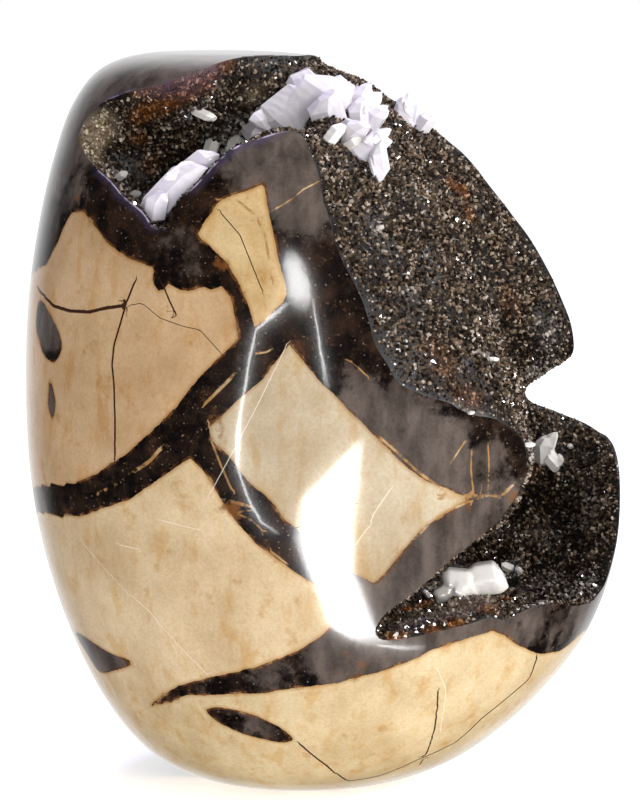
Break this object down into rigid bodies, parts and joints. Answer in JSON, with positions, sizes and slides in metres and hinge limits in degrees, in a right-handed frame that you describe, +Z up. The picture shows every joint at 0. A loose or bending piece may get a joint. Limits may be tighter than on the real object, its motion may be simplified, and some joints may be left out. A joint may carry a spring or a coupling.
{
  "type": "septarian nodule",
  "caption": "Polished egg-shaped septarian nodule: tan cells, dark veins and open crystal-lined hollows with clear calcite, standing on a small ground flat.",
  "frame": {"origin": "middle of the nodule's own footprint box, at the level of its ground flat", "axes": "+Z up along the egg's height, -Y the front as pictured, +X the side where the large hollow opens"},
  "size_m": [0.1226, 0.1044, 0.1502],
  "materials": {
    "polished_stone": "polished, with a clear wet-looking gloss",
    "druse": "small sparkling crystal faces",
    "clear_calcite": "clear to milky crystal with smooth faces"
  },
  "bodies": {
    "root": {"nodule": "polished_stone", "druse": "druse", "calcite_cluster": "clear_calcite", "calcite_curl": "clear_calcite", "calcite_blade": "clear_calcite", "calcite_rim": "clear_calcite", "calcite_wall": "clear_calcite", "calcite_knob": "clear_calcite"}
  },
  "joints": []
}
